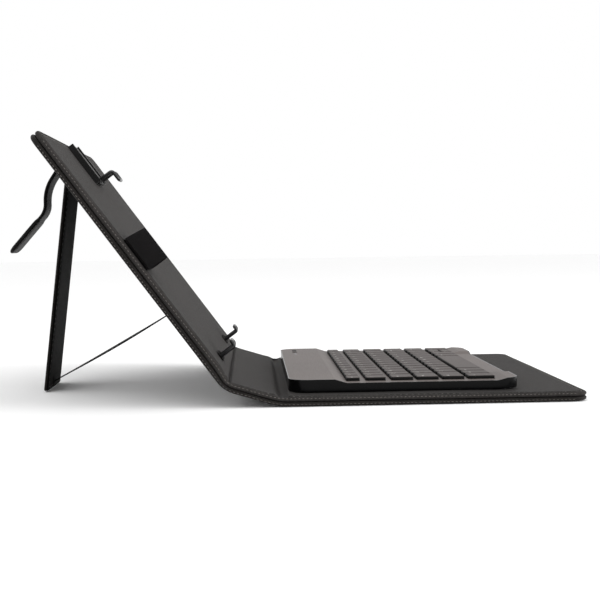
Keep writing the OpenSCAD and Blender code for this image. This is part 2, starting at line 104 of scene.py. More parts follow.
# local y up the leg, towards its hinge at the origin
leg_place = tilt_matrix(leg_axis, tablet_tilt + leg_open)


def box_of(points):
    """Lowest and highest corners of some points."""
    return Vector(map(min, zip(*points))), Vector(map(max, zip(*points)))


def local_box(node, place):
    """Box of a CAD node in the directions of a tilted place."""
    back = place.inverted()
    points = [back @ v.co for v in frame["nodes"][node].data.vertices]
    return box_of(points)


tablet_t = local_box("tablet_panel_lining", tablet_place)[1].z


# ---- materials ------------------------------------------------------------

class Shader:
    """A material with short ways to add and join nodes."""

    def __init__(self, name, **values):
        self.mat = bpy.data.materials.new(name)
        self.mat.use_nodes = True
        self.tree = self.mat.node_tree
        self.bsdf = self.tree.nodes["Principled BSDF"]
        self.coords = self.tree.nodes.new("ShaderNodeTexCoord")
        self.space = self.coords.outputs["Object"]
        for key, value in values.items():
            self.bsdf.inputs[key.replace("_", " ")].default_value = value

    def link(self, a, b):
        self.tree.links.new(a, b)

    def use_uv(self):
        self.space = self.coords.outputs["UV"]

    def node(self, kind, **values):
        made = self.tree.nodes.new("ShaderNode" + kind)
        for key, value in values.items():
            setattr(made, key, value)
        return made

    def scaled(self, x, y, z):
        mapping = self.node("Mapping")
        mapping.inputs["Scale"].default_value = (x, y, z)
        self.link(self.space, mapping.inputs["Vector"])
        return mapping.outputs["Vector"]

    def noise(self, scale, detail=4.0, rough=0.55, vector=None):
        made = self.node("TexNoise")
        made.inputs["Scale"].default_value = scale
        made.inputs["Detail"].default_value = detail
        made.inputs["Roughness"].default_value = rough
        self.link(vector or self.space, made.inputs["Vector"])
        return made.outputs["Fac"]

    def cells(self, scale, feature="DISTANCE_TO_EDGE"):
        made = self.node("TexVoronoi", feature=feature)
        made.inputs["Scale"].default_value = scale
        self.link(self.space, made.inputs["Vector"])
        return made.outputs["Distance"]

    def wave(self, scale, direction, distortion=0.0):
        made = self.node("TexWave", bands_direction=direction)
        made.inputs["Scale"].default_value = scale
        made.inputs["Distortion"].default_value = distortion
        self.link(self.space, made.inputs["Vector"])
        return made.outputs["Fac"]

    def ramp(self, fac, stops):
        made = self.node("ValToRGB")
        ramp = made.color_ramp
        while len(ramp.elements) < len(stops):
            ramp.elements.new(0.5)
        for element, (pos, colour) in zip(ramp.elements, stops):
            element.position = pos
            level = colour if isinstance(colour, tuple) else (colour, colour, colour)
            element.color = (*level, 1)
        self.link(fac, made.inputs["Fac"])
        return made.outputs["Color"]

    def math(self, op, a, b):
        made = self.node("Math", operation=op)
        for socket, value in zip(made.inputs, (a, b)):
            if isinstance(value, (int, float)):
                socket.default_value = value
            else:
                self.link(value, socket)
        return made.outputs["Value"]

    def colour(self, socket):
        self.link(socket, self.bsdf.inputs["Base Color"])

    def rough(self, fac, low, high):
        self.link(self.ramp(fac, [(0.25, low), (0.75, high)]), self.bsdf.inputs["Roughness"])

    def bumps(self, *layers):
        """layers of (height socket, strength, distance)"""
        normal = None
        for height, strength, distance in layers:
            bump = self.node("Bump")
            bump.inputs["Strength"].default_value = strength
            bump.inputs["Distance"].default_value = distance
            self.link(height, bump.inputs["Height"])
            if normal:
                self.link(normal, bump.inputs["Normal"])
            normal = bump.outputs["Normal"]
        self.link(normal, self.bsdf.inputs["Normal"])

    def blend(self, a, b, share):
        """Mix of two heights, with the second one's share."""
        return self.math("ADD", self.math("MULTIPLY", a, 1.0 - share), self.math("MULTIPLY", b, share))


def leather_material(name, dark, light, rough, grain, depth, gloss):
    """Fine pebbled leatherette: small cells and soft creases, with painted shade darkening the valleys
    between the cells so the high spots read lighter.
    """
    s = Shader(name, Specular_IOR_Level=gloss, Sheen_Weight=0.02, Sheen_Roughness=0.45)
    warp = s.noise(180.0, 2.0)
    cells = s.cells(grain)
    fine = s.noise(2600.0, 3.0)
    broad = s.noise(11.0, 5.0, 0.6)
    mottle = s.noise(420.0, 3.0, 0.7)
    patch = s.ramp(s.blend(broad, mottle, 0.45), [(0.34, dark), (0.66, light)])
    # painted shade: colour darkened along the cell borders, the valleys of the grain bump
    valley_shade = s.ramp(cells, [(0.0, 0.45), (0.22, 1.0)])
    mix = s.node("Mix", data_type="RGBA", blend_type="MULTIPLY")
    mix.inputs["Factor"].default_value = 0.8
    s.link(patch, mix.inputs["A"])
    s.link(valley_shade, mix.inputs["B"])
    s.colour(mix.outputs["Result"])
    s.rough(s.blend(broad, fine, 0.4), rough - 0.07, rough + 0.09)
    s.bumps((s.ramp(cells, [(0.0, 0.0), (0.3, 1.0)]), depth, 0.00022),
            (warp, 0.25, 0.0006), (fine, 0.2, 0.00008), (broad, 0.12, 0.002))
    return s.mat


def band_material(name, dark, light, rough):
    """Woven ribbon or elastic: uv u runs across the band and v along it, both in metres."""
    s = Shader(name, Sheen_Weight=0.0, Specular_IOR_Level=0.05)
    s.use_uv()
    warp = s.wave(420.0, "X")
    weft = s.wave(640.0, "Y")
    check = s.math("MULTIPLY", warp, weft)
    fuzz = s.noise(3500.0, 3.0)
    s.colour(s.ramp(s.blend(check, fuzz, 0.4), [(0.25, dark), (0.75, light)]))
    s.rough(fuzz, rough - 0.06, rough + 0.08)
    s.bumps((check, 0.9, 0.0004), (fuzz, 0.3, 0.00008))
    return s.mat


def thread_material():
    """Twisted sewing thread."""
    s = Shader("thread", Roughness=0.7)
    twist = s.wave(1500.0, "DIAGONAL", distortion=1.0)
    s.colour(s.ramp(twist, [(0.2, (0.075, 0.067, 0.060)), (0.8, (0.17, 0.157, 0.144))]))
    s.bumps((twist, 0.5, 0.0001))
    return s.mat


def paint_material():
    """Black lacquered wire with tiny runs and wear on it."""
    s = Shader("wire_paint", Roughness=0.33, Coat_Weight=0.25, Coat_Roughness=0.2)
    runs = s.noise(260.0, 4.0)
    s.colour(s.ramp(runs, [(0.3, (0.006, 0.006, 0.0065)), (0.75, (0.016, 0.016, 0.0165))]))
    s.rough(s.noise(900.0), 0.27, 0.42)
    s.bumps((runs, 0.15, 0.0004))
    return s.mat


def plastic_material(name, dark, light, rough, grain=1400.0):
    """Moulded plastic with a fine spark-eroded texture."""
    s = Shader(name, Specular_IOR_Level=0.15)
    cloud = s.noise(24.0, 3.0)
    grains = s.noise(grain, 3.0)
    s.colour(s.ramp(cloud, [(0.3, dark), (0.7, light)]))
    s.rough(grains, rough - 0.06, rough + 0.08)
    s.bumps((grains, 0.25, 0.00008), (cloud, 0.05, 0.001))
    return s.mat


def gloss_material():
    """Polished black plastic with faint smears."""
    s = Shader("gloss_black", Specular_IOR_Level=0.07, Coat_Weight=0.05, Coat_Roughness=0.12)
    cloud = s.noise(30.0, 3.0)
    smear = s.noise(90.0, 5.0, 0.7)
    s.colour(s.ramp(cloud, [(0.3, (0.001, 0.001, 0.0011)), (0.7, (0.0028, 0.0028, 0.003))]))
    s.rough(smear, 0.14, 0.26)
    s.bumps((s.noise(400.0, 2.0), 0.04, 0.0003))
    return s.mat


def brushed_material(name, dark, light, rough, metal=0.2):
    """Satin finish with very fine streaks along the keyboard's width."""
    s = Shader(name, Metallic=metal, Specular_IOR_Level=0.2)
    streak = s.noise(1.0, 4.0, 0.65, s.scaled(60.0, 2600.0, 2600.0))
    cloud = s.noise(9.0, 4.0)
    s.colour(s.ramp(s.blend(streak, cloud, 0.65), [(0.32, dark), (0.68, light)]))
    s.rough(streak, rough - 0.05, rough + 0.07)
    s.bumps((streak, 0.12, 0.00006), (s.noise(1800.0, 2.0), 0.12, 0.00005))
    return s.mat


def metal_material(name, dark, light, rough):
    s = Shader(name, Metallic=1.0)
    grain = s.noise(1.0, 3.0, 0.6, s.scaled(80.0, 1800.0, 1800.0))
    s.colour(s.ramp(grain, [(0.3, dark), (0.7, light)]))
    s.rough(grain, rough - 0.05, rough + 0.08)
    s.bumps((grain, 0.1, 0.00005))
    return s.mat


def board_material():
    s = Shader("grey_board", Roughness=0.85)
    fibre = s.noise(700.0, 6.0, 0.7)
    s.colour(s.ramp(fibre, [(0.3, (0.16, 0.14, 0.11)), (0.7, (0.33, 0.29, 0.23))]))
    s.bumps((fibre, 0.4, 0.0002))
    return s.mat


def circuit_material():
    s = Shader("circuit", Roughness=0.4)
    cells = s.cells(420.0, "F1")
    s.colour(s.ramp(cells, [(0.1, (0.30, 0.24, 0.10)), (0.2, (0.012, 0.10, 0.045)),
                            (0.8, (0.02, 0.15, 0.07))]))
    s.bumps((cells, 0.2, 0.0001))
    return s.mat


def lens_material():
    s = Shader("lens", Roughness=0.15, Transmission_Weight=0.6)
    cloud = s.noise(800.0)
    s.colour(s.ramp(cloud, [(0.3, (0.45, 0.6, 0.75)), (0.7, (0.65, 0.8, 0.95))]))
    s.bumps((cloud, 0.1, 0.0001))
    return s.mat


COVER = leather_material("leatherette", (0.0085, 0.0073, 0.0066), (0.022, 0.0192, 0.0175),
                         rough=0.55, grain=820.0, depth=0.55, gloss=0.1)
LINING = leather_material("lining", (0.027, 0.0246, 0.0234), (0.050, 0.0462, 0.0442),
                          rough=0.66, grain=1050.0, depth=0.5, gloss=0.05)
# near-black leather: partly its own dark colour and partly painted shade on the leg's inner face and ribbon
# patch, and painted shadow round the hook slits
DARK_LEATHER_AND_SHADE = leather_material("dark_leather_and_painted_shade", (0.0018, 0.0015, 0.0013), (0.0055, 0.0048, 0.0043),
                             rough=0.7, grain=1300.0, depth=0.3, gloss=0.02)
STRAP_SKIN = leather_material("strap_leather", (0.0028, 0.0026, 0.0024), (0.008, 0.0075, 0.007),
                              rough=0.5, grain=900.0, depth=0.15, gloss=0.1)
SEAM_GROOVE_SHADE = leather_material("seam_shadow", (0.0022, 0.0021, 0.002), (0.005, 0.0047, 0.0045),
                          rough=0.8, grain=1100.0, depth=0.3, gloss=0.05)
ELASTIC = band_material("elastic", (0.0008, 0.0006, 0.0008), (0.0125, 0.0105, 0.011), 0.85)
RIBBON = band_material("ribbon", (0.003, 0.003, 0.003), (0.009, 0.0088, 0.0085), 0.6)
THREAD = thread_material()
PAINT = paint_material()
SLIDER = plastic_material("slider_plastic", (0.006, 0.006, 0.006), (0.011, 0.0107, 0.0104), 0.5)
# painted light: a lighter copy of the slider's plastic for its lit top face
SLIDER_LIT_TOP = plastic_material("slider_painted_lit_top", (0.048, 0.0455, 0.0435), (0.066, 0.063, 0.060), 0.6)
GLOSS = gloss_material()
DECK = brushed_material("deck_satin", (0.092, 0.077, 0.072), (0.128, 0.108, 0.101), 0.5)
CAPS = brushed_material("cap_satin", (0.056, 0.046, 0.0435), (0.086, 0.0725, 0.0685), 0.55, 0.1)
# painted shade: near-black for the sides of the keys, against the lighter satin tops
CAP_SIDE_SHADE = plastic_material("cap_side_painted_shade", (0.0015, 0.0014, 0.0014), (0.004, 0.0038, 0.0037), 0.55)
LEGEND = plastic_material("legend_ink", (0.42, 0.41, 0.39), (0.55, 0.54, 0.52), 0.6)
RUBBER = plastic_material("rubber", (0.012, 0.012, 0.012), (0.02, 0.02, 0.02), 0.75, 1800.0)
DOMES = plastic_material("silicone", (0.5, 0.49, 0.46), (0.62, 0.61, 0.57), 0.6)
STEEL = metal_material("steel", (0.45, 0.45, 0.46), (0.6, 0.6, 0.61), 0.33)
NICKEL = metal_material("nickel", (0.55, 0.54, 0.52), (0.68, 0.67, 0.65), 0.2)
FOIL = metal_material("foil", (0.5, 0.51, 0.53), (0.66, 0.67, 0.69), 0.4)
BOARD = board_material()
CIRCUIT = circuit_material()
LENS = lens_material()

# the finish of each CAD node that stays in view, and the width of its moulded edge in millimetres
CAD_FINISH = {
    BOARD: ["keyboard_panel_board", "spine_board", "tablet_panel_board", "kickstand_board"],
    SLIDER: ["slider_guide", "power_switch", "pairing_button"],
    GLOSS: ["keyboard_base"],
    DECK: ["keyboard_deck"],
    FOIL: ["battery"],
    CIRCUIT: ["circuit_board"],
    STEEL: ["key_backplate", "usb_port", "base_screws", "latch_plate"],
    NICKEL: ["keyboard_magnets", "panel_magnets", "tab_magnet"],
    DOMES: ["dome_sheet"],
    LENS: ["status_leds"],
    RUBBER: ["rubber_feet"],
    ELASTIC: ["slider_elastic"],
}


CAD_EDGES = {"keyboard_base": 0.2, "keyboard_deck": 0.06, "slider_guide": 0.3, "power_switch": 0.2,
             "rubber_feet": 0.2, "usb_port": 0.15, "pairing_button": 0.25, "battery": 0.5}


def finish_cad_nodes():
    """Gives the CAD nodes that stay their finish and small moulded edges."""
    for material, names in CAD_FINISH.items():
        for name in names:
            obj = frame["nodes"][name]
            obj.data.materials.clear()
            obj.data.materials.append(material)
            if name in CAD_EDGES:
                bevel = obj.modifiers.new("edges", "BEVEL")
                bevel.width = CAD_EDGES[name] * MM
                bevel.segments = 3
                bevel.limit_method = "ANGLE"
                bevel.angle_limit = math.radians(35)
                bevel.harden_normals = True


# ---- mesh helpers ---------------------------------------------------------

END_CORNERS = 8


def link_object(name, data):
    obj = bpy.data.objects.new(name, data)
    bpy.context.scene.collection.objects.link(obj)
    return obj


def make_object(name, verts, faces, material, smooth=True, uvs=None):
    """A mesh object. Faces of more than END_CORNERS corners are flat ends with a sharp rim."""
    mesh = bpy.data.meshes.new(name)
    mesh.from_pydata([tuple(v) for v in verts], [], faces)
    mesh.materials.append(material)
    if uvs:
        layer = mesh.uv_layers.new(name="UVMap")
        for loop in mesh.loops:
            layer.data[loop.index].uv = uvs[loop.vertex_index]
    bm = bmesh.new()
    bm.from_mesh(mesh)
    bmesh.ops.recalc_face_normals(bm, faces=bm.faces)
    for face in bm.faces:
        if len(face.verts) > END_CORNERS:
            for edge in face.edges:
                edge.smooth = False
    bm.to_mesh(mesh)
    bm.free()
    for polygon in mesh.polygons:
        polygon.use_smooth = smooth
    return link_object(name, mesh)


def join_rings(rings, closed=True):
    """Faces between rings of the same number of points, given as lists of vertex numbers."""
    faces = []
    for a, b in zip(rings, rings[1:]):
        count = len(a)
        for i in range(count if closed else count - 1):
            j = (i + 1) % count
            faces.append((a[i], a[j], b[j], b[i]))
    return faces


def shell(rings):
    """Faces of a closed skin over rings, with a flat face at either end."""
    return join_rings(rings) + [tuple(reversed(rings[0])), tuple(rings[-1])]


def turned(place, x, y, z):
    """A direction of a tilted place, as a unit vector."""
    return (place.to_3x3() @ Vector((x, y, z))).normalized()


def settle(piece, slot, body, *stands_for):
    """Hides the CAD nodes a piece stands for and gives it the body it rides on. slot is not used."""
    if stands_for:
        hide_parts(*stands_for)
    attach(piece, body)
    return piece


class Mesh:
    """Vertices and faces gathered from several solids."""

    def __init__(self):
        self.verts = []
        self.faces = []
        self.uvs = []

    def add(self, verts, faces, uvs=None):
        start = len(self.verts)
        self.verts += verts
        self.faces += [tuple(start + i for i in face) for face in faces]
        self.uvs += uvs or [(0.0, 0.0)] * len(verts)

    def object(self, name, material, smooth=True):
        return make_object(name, self.verts, self.faces, material, smooth, self.uvs)


def rounded_loop(w, l, r, inset, steps=7):
    """Points of a centred rounded rectangle, pulled in by inset."""
    r_in = max(r - inset, 0.05 * MM)
    hw, hl = w / 2 - inset - r_in, l / 2 - inset - r_in
    points = []
    for k, (cx, cy) in enumerate(((hw, hl), (-hw, hl), (-hw, -hl), (hw, -hl))):
        for i in range(steps + 1):
            a = math.radians(90) * (k + i / steps)
            points.append((cx + r_in * math.cos(a), cy + r_in * math.sin(a)))
    return points


def slab_geometry(w, l, r, profile, place, steps=7):
    """A rounded rectangular pad. profile is a list of (inset, height) from the bottom's middle
    round the edge to the top's middle."""
    verts, rings = [], []
    for inset, height in profile:
        loop = rounded_loop(w, l, r, inset, steps)
        rings.append(list(range(len(verts), len(verts) + len(loop))))
        verts += [place @ Vector((x, y, height)) for x, y in loop]
    return verts, shell(rings)


def soft_edge(t, bulge, low=0.0, steps=5):
    """Profile of a slab of thickness t whose edge is a rounded lip."""
    points = []
    for i in range(steps + 1):
        a = math.radians(-90 + 180 * i / steps)
        points.append((bulge * (1 - math.cos(a)), low + t / 2 + t / 2 * math.sin(a)))
    return points


def bezier(p0, p1, p2, t):
    return (1 - t) ** 2 * p0 + 2 * t * (1 - t) * p1 + t * t * p2


def round_path(points, radius, steps=6):
    """The same polyline with its corners rounded."""
    out = [points[0]]
    for a, b, c in zip(points, points[1:], points[2:]):
        reach = min(radius, (a - b).length * 0.49, (c - b).length * 0.49)
        p0 = b + (a - b).normalized() * reach
        p2 = b + (c - b).normalized() * reach
        out += [bezier(p0, b, p2, i / steps) for i in range(steps + 1)]
    out.append(points[-1])
    return out


def tube_geometry(path, r, sides=14):
    """A round wire along path, with round ends."""
    verts, rings = [], []
    tangent = (path[1] - path[0]).normalized()
    side = tangent.orthogonal().normalized()
    spots = [(path[0] - tangent * r * 0.85, 0.35)] + [(p, 1.0) for p in path]
    last = (path[-1] - path[-2]).normalized()
    spots.append((path[-1] + last * r * 0.85, 0.35))
    count = len(spots)
    for i, (p, share) in enumerate(spots):
        before = spots[max(i - 1, 0)][0]
        after = spots[min(i + 1, count - 1)][0]
        turned = (after - before).normalized()
        side = (side - turned * side.dot(turned)).normalized()
        up = turned.cross(side)
        rings.append(list(range(len(verts), len(verts) + sides)))
        for k in range(sides):
            a = 2 * math.pi * k / sides
            verts.append(p + (side * math.cos(a) + up * math.sin(a)) * r * share)
    return verts, shell(rings)


def band_geometry(path, normals, width, t, across):
    """A flat strap along path. across is the unit vector over its width, and each ring is a flat
    shape with thin rounded sides. uv is (across, along) in metres."""
    side_share = ((-1.0, 0.0), (-0.985, 0.35), (-0.93, 0.8), (-0.75, 1.0), (-0.4, 1.0), (0.0, 1.0),
                  (0.4, 1.0), (0.75, 1.0), (0.93, 0.8), (0.985, 0.35), (1.0, 0.0))
    ring_shape = list(side_share) + [(u, -lip) for u, lip in side_share[::-1][1:-1]]
    verts, rings, uvs = [], [], []
    along = 0.0
    for i, (p, nrm) in enumerate(zip(path, normals)):
        if i:
            along += (p - path[i - 1]).length
        rings.append(list(range(len(verts), len(verts) + len(ring_shape))))
        verts += [p + across * (u * width / 2) + nrm * (lip * t / 2) for u, lip in ring_shape]
        uvs += [(u * width / 2, along) for u, lip in ring_shape]
    return verts, shell(rings), uvs


def path_normals(path, across):
    normals = []
    for i in range(len(path)):
        a = path[max(i - 1, 0)]
        b = path[min(i + 1, len(path) - 1)]
        normals.append(across.cross((b - a).normalized()).normalized())
    return normals


def running_lengths(path):
    """Distance of each point of a polyline from its start."""
    lengths = [0.0]
    for a, b in zip(path, path[1:]):
        lengths.append(lengths[-1] + (b - a).length)
    return lengths


def resample(path, step):
    """Points spaced evenly along a polyline."""
    lengths = running_lengths(path)
    count = max(2, round(lengths[-1] / step))
    out, k = [], 0
    for i in range(count + 1):
        want = lengths[-1] * i / count
        while k < len(path) - 2 and lengths[k + 1] < want:
            k += 1
        span = lengths[k + 1] - lengths[k]
        t = (want - lengths[k]) / span if span > 1e-9 else 0.0
        out.append(path[k].lerp(path[k + 1], t))
    return out


def stitch_geometry(a, b, normal, r):
    """One short stitch from a to b that dips at both ends."""
    verts, rings = [], []
    d = (b - a).normalized()
    side = normal.cross(d).normalized()
    sides = 6
    for t, share, rise in ((0.0, 0.3, -0.9), (0.14, 0.85, -0.1), (0.5, 1.0, 0.25),
                           (0.86, 0.85, -0.1), (1.0, 0.3, -0.9)):
        mid = a.lerp(b, t) + normal * r * rise
        rings.append(list(range(len(verts), len(verts) + sides)))
        for k in range(sides):
            ang = 2 * math.pi * k / sides
            verts.append(mid + (side * math.cos(ang) + normal * math.sin(ang)) * r * share)
    return verts, shell(rings)


def stitch_row(mesh, path, normals, pitch=3.8 * MM, length=2.7 * MM, r=0.32 * MM):
    """Stitches along path, each slightly slanted as a lockstitch is."""
    lengths = running_lengths(path)

    def spot(want):
        k = 0
        while k < len(path) - 2 and lengths[k + 1] < want:
            k += 1
        span = lengths[k + 1] - lengths[k]
        t = min(max((want - lengths[k]) / span, 0.0), 1.0)
        return path[k].lerp(path[k + 1], t), normals[k].lerp(normals[k + 1], t).normalized()

    count = int(lengths[-1] // pitch)
    for i in range(count):
        start = (i + 0.5) * lengths[-1] / count - length / 2
        a, na = spot(start)
        b, nb = spot(start + length)
        slant = na.cross(b - a).normalized() * 0.12 * MM
        mesh.add(*stitch_geometry(a - slant, b + slant, (na + nb).normalized(), r))


# ---- the folded case ------------------------------------------------------

BEND = 7 * MM
SEAM_INSET = 3.1 * MM
PARTS = ((fold1, 0.0), (fold1, spine_tilt), (fold2, tablet_tilt))


def straight(s, part):
    """Point of the outer skin at distance s behind the front fold, as if part were the only panel."""
    base, tilt = PARTS[part]
    along = s - (spine_len if part == 2 else 0.0)
    return base + Vector((0.0, math.cos(tilt), math.sin(tilt))) * along


def skin(s):
    """Point of the outer skin and the normal into the case at distance s behind the front fold."""
    for part, edge in ((0, 0.0), (1, spine_len)):
        if abs(s - edge) < BEND:
            p0, p1, p2 = straight(edge - BEND, part), straight(edge, part), straight(edge + BEND, part + 1)
            t = (s - edge + BEND) / (2 * BEND)
            d = ((p1 - p0) * (1 - t) + (p2 - p1) * t).normalized()
            return bezier(p0, p1, p2, t), Vector((0.0, -d.z, d.y))
    part = 0 if s < 0 else 1 if s < spine_len else 2
    tilt = PARTS[part][1]
    return straight(s, part), Vector((0.0, -math.sin(tilt), math.cos(tilt)))


def swell(s):
    """Thickness of the case at s, as a share of the keyboard panel's."""
    share = min(max((s - spine_len - 1.5 * MM) / (14 * MM), 0.0), 1.0)
    return 1.0 + (tablet_t / panel_t - 1.0) * share * share * (3.0 - 2.0 * share)


def at(x, s, n):
    point, normal = skin(s)
    return point + Vector((x, 0.0, 0.0)) + normal * n * swell(s)


hook_spots = []
for hook in ("bottom_hook_left", "bottom_hook_right"):
    corners = local_box(hook, tablet_place)
    hook_spots.append(((corners[0].x + corners[1].x) / 2, spine_len + corners[1].y + 1 * MM))


def hollow(s, centre, width, depth):
    return depth * math.exp(-((s - centre) / width) ** 2)


def lining_relief(x, s):
    """How far the lining's face stands below its flat level: creases at the folds, and slack."""
    crease = hollow(s, -2.0 * MM, 3.4 * MM, 2.8 * MM) + hollow(s, spine_len, 1.3 * MM, 2.6 * MM)
    crease -= hollow(s, -8.0 * MM, 2.4 * MM, 0.55 * MM) + hollow(s, 5.0 * MM, 3.2 * MM, 0.4 * MM)
    crease -= hollow(s, spine_len + 5.0 * MM, 2.6 * MM, 0.4 * MM)
    for spot_x, spot_s in hook_spots:
        crease += 0.9 * MM * math.exp(-((x - spot_x) / (10 * MM)) ** 2 - ((s - spot_s) / (3.5 * MM)) ** 2)
    slack = noise.noise(Vector((x * 14, s * 14, 1.7))) * 0.35 * MM
    slack += noise.noise(Vector((x * 45, s * 45, 4.1))) * 0.10 * MM
    return crease - slack


def cover_relief(x, s):
    slack = noise.noise(Vector((x * 12, s * 12, 9.3))) * 0.16 * MM
    return -slack


def spaced(lo, hi, step):
    count = max(1, round((hi - lo) / step))
    return [lo + (hi - lo) * i / count for i in range(count + 1)]


def along_list(lo, hi, step=3.2 * MM):
    """Places along the case, closer together at the folds."""
    out = [lo]
    while out[-1] < hi - 1e-6:
        s = out[-1]
        near = min(abs(s - 0.0), abs(s - spine_len))
        out.append(s + (0.9 * MM if near < 9 * MM else min(step, max(0.9 * MM, near - 8 * MM))))
    out[-1] = hi
    if out[-1] - out[-2] < 0.3 * MM:
        out.pop(-2)
    return out


def case_layer(name, cut, end, profile, relief, material):
    """One layer of the folded case from the cut, where it meets its other half, to the free end.
    profile is a list of (inset, level, follows relief) from the upper face round the edge."""
    sign = 1 if end > cut else -1
    reach = corner_r
    inner_end = end - sign * reach
    rows = along_list(*sorted((cut, inner_end)))
    if sign < 0:
        rows = rows[::-1]
    inner_w = half_w - reach
    columns = spaced(-inner_w, inner_w, 4 * MM)
    arc = 8
    verts, rings = [], []
    name_seed = len(name) * 1.7

    def put(x, s, level, follow):
        verts.append(at(x, s, level - (relief(x, s) * follow)))
        return len(verts) - 1

    def boundary(inset):
        """Outline points (x, s) from the cut along -x, round the free end and back along +x."""
        def side(s):
            wave = noise.noise(Vector((s * 38, end * 9, name_seed))) * 0.22 * MM + 0.22 * MM
            return half_w - inset - wave * (1.0 - inset / reach)
        points = [(-side(s), s) for s in rows]
        r = reach - inset
        for i in range(1, arc):
            a = math.radians(90 * i / arc)
            points.append((-inner_w - r * math.cos(a), inner_end + sign * r * math.sin(a)))
        points += [(x, end - sign * inset) for x in columns]
        for i in range(1, arc):
            a = math.radians(90 * i / arc)
            points.append((inner_w + r * math.sin(a), inner_end + sign * r * math.cos(a)))
        points += [(side(s), s) for s in rows[::-1]]
        return points

    for inset, level, follow in profile:
        rings.append([put(x, s, level, follow) for x, s in boundary(inset)])
    faces = join_rings(rings, closed=False)
    grids = []
    for level, follow in ((profile[0][1], profile[0][2]), (profile[-1][1], profile[-1][2])):
        grids.append([[put(x, s, level, follow) for x in columns] for s in rows])
    for grid in grids:
        faces += join_rings(grid, closed=False)
    # the innermost rings lie on the grids' outer rows, so they are welded by distance
    side = [ring[0] for ring in rings]
    far = [ring[-1] for ring in rings][::-1]
    faces.append(tuple(side + grids[1][0] + far + grids[0][0][::-1]))
    obj = make_object(name, verts, faces, material)
    # painted shade: the faces in and round the seam groove take a darker leather
    obj.data.materials.append(SEAM_GROOVE_SHADE)
    per_ring = len(rings[0]) - 1
    for k in range(per_ring * (len(rings) - 1)):
        if SEAM_INSET - 0.7 * MM < profile[k // per_ring][0] < SEAM_INSET + 0.9 * MM:
            obj.data.polygons[k].material_index = 1
    bm = bmesh.new()
    bm.from_mesh(obj.data)
    bmesh.ops.remove_doubles(bm, verts=bm.verts, dist=0.02 * MM)
    bmesh.ops.recalc_face_normals(bm, faces=bm.faces)
    for edge in max(bm.faces, key=lambda face: len(face.verts)).edges:
        edge.smooth = False
    bm.to_mesh(obj.data)
    bm.free()
    return obj


def layer_profile(face, back):
    """Profile of a padded layer between its face level and its back level at the seam."""
    def lvl(share):
        return back + (face - back) * share
    return [(corner_r, face, 1), (6.5 * MM, face, 1), (4.9 * MM, lvl(1.02), 1), (3.9 * MM, lvl(0.97), 1),
            (3.7 * MM, lvl(0.90), 1), (SEAM_INSET, lvl(0.78), 1), (2.5 * MM, lvl(0.90), 0.8),
            (2.2 * MM, lvl(0.98), 0.7), (1.6 * MM, lvl(0.98), 0.5), (0.9 * MM, lvl(0.88), 0.3),
            (0.4 * MM, lvl(0.76), 0.2),
            (0.12 * MM, lvl(0.60), 0.0), (0.0, lvl(0.42), 0.0), (0.15 * MM, lvl(0.24), 0.0),
            (0.7 * MM, lvl(0.08), 0.0), (1.6 * MM, back, 0.0), (corner_r, back, 0)]


def seam_path(cut, end, inset, level, relief):
    """Path of a seam along one half of the case's edge, with the normals out of the face."""
    sign = 1 if end > cut else -1
    rows = along_list(*sorted((cut, end - sign * corner_r)), step=4 * MM)
    if sign < 0:
        rows = rows[::-1]
    inner_w = half_w - corner_r
    inner_end = end - sign * corner_r
    r = corner_r - inset
    corner = [math.radians(a) for a in range(10, 90, 10)]
    flat = [(-half_w + inset, s) for s in rows]
    flat += [(-inner_w - r * math.cos(a), inner_end + sign * r * math.sin(a)) for a in corner]
    flat += [(x, end - sign * inset) for x in spaced(-inner_w, inner_w, 6 * MM)]
    flat += [(inner_w + r * math.sin(a), inner_end + sign * r * math.cos(a)) for a in corner]
    flat += [(half_w - inset, s) for s in rows[::-1]]
    facing = 1 if level > panel_t / 2 else -1
    path = [at(x, s, level - (relief(x, s) if facing > 0 else 0.0)) for x, s in flat]
    return path, [skin(s)[1] * facing for _, s in flat]


def build_case():
    """Cover and lining, each in two halves that meet in the middle of the spine, and their seams."""
    middle = spine_len / 2
    seam_level = panel_t * 0.49
    halves = (("front", middle, -panel_len, ("keyboard_panel", "spine"), fold1,
               ("keyboard_panel_cover", "front_fold"), ("keyboard_panel_lining",)),
              ("rear", middle, spine_len + panel_len + 2 * MM, ("spine", "tablet_panel"), fold2,
               ("tablet_panel_cover", "rear_fold"), ("tablet_panel_lining",)))
    for label, cut, end, bodies, fold, cover_nodes, lining_nodes in halves:
        cover = case_layer(f"cover_{label}", cut, end, layer_profile(0.0, seam_level - 0.1 * MM),
                           cover_relief, COVER)
        lining = case_layer(f"lining_{label}", cut, end,
                            layer_profile(panel_t, seam_level + 0.1 * MM), lining_relief, LINING)
        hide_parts(*cover_nodes, *(("spine_cover",) if label == "front" else ()))
        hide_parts(*lining_nodes, *(("spine_lining",) if label == "front" else ()))
        seam = Mesh()
        for level, relief in ((panel_t - 0.42 * MM, lining_relief), (0.42 * MM, cover_relief)):
            path, normals = seam_path(cut, end, SEAM_INSET, level, relief)
            stitch_row(seam, path, normals)
        for level in (panel_t * 0.80, panel_t * 0.20):
            path, normals = seam_path(cut, end, 0.35 * MM, level, lambda x, s: 0.0)
            stitch_row(seam, path, normals, pitch=2.6 * MM, length=1.5 * MM, r=0.2 * MM)
        thread = seam.object(f"edge_stitching_{label}", THREAD)
        for piece in (cover, lining, thread):
            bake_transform(piece)


# ---- tablet holder --------------------------------------------------------

def on_tablet(x, y, z):
    return tablet_place @ Vector((x, y, z))


WIRE_R = 1.25 * MM


def hook_wire(x, y, low, high, width, lip):
    """A wire bent into a U: up one side, along its lip, across, and back down the other side."""
    half = width / 2 - WIRE_R
    top = high - WIRE_R
    points = [(x - half, y, low), (x - half, y, top), (x - half, y + lip, top),
              (x + half, y + lip, top), (x + half, y, top), (x + half, y, low)]
    path = round_path([on_tablet(*p) for p in points], 2.4 * MM)
    return tube_geometry(path, WIRE_R)


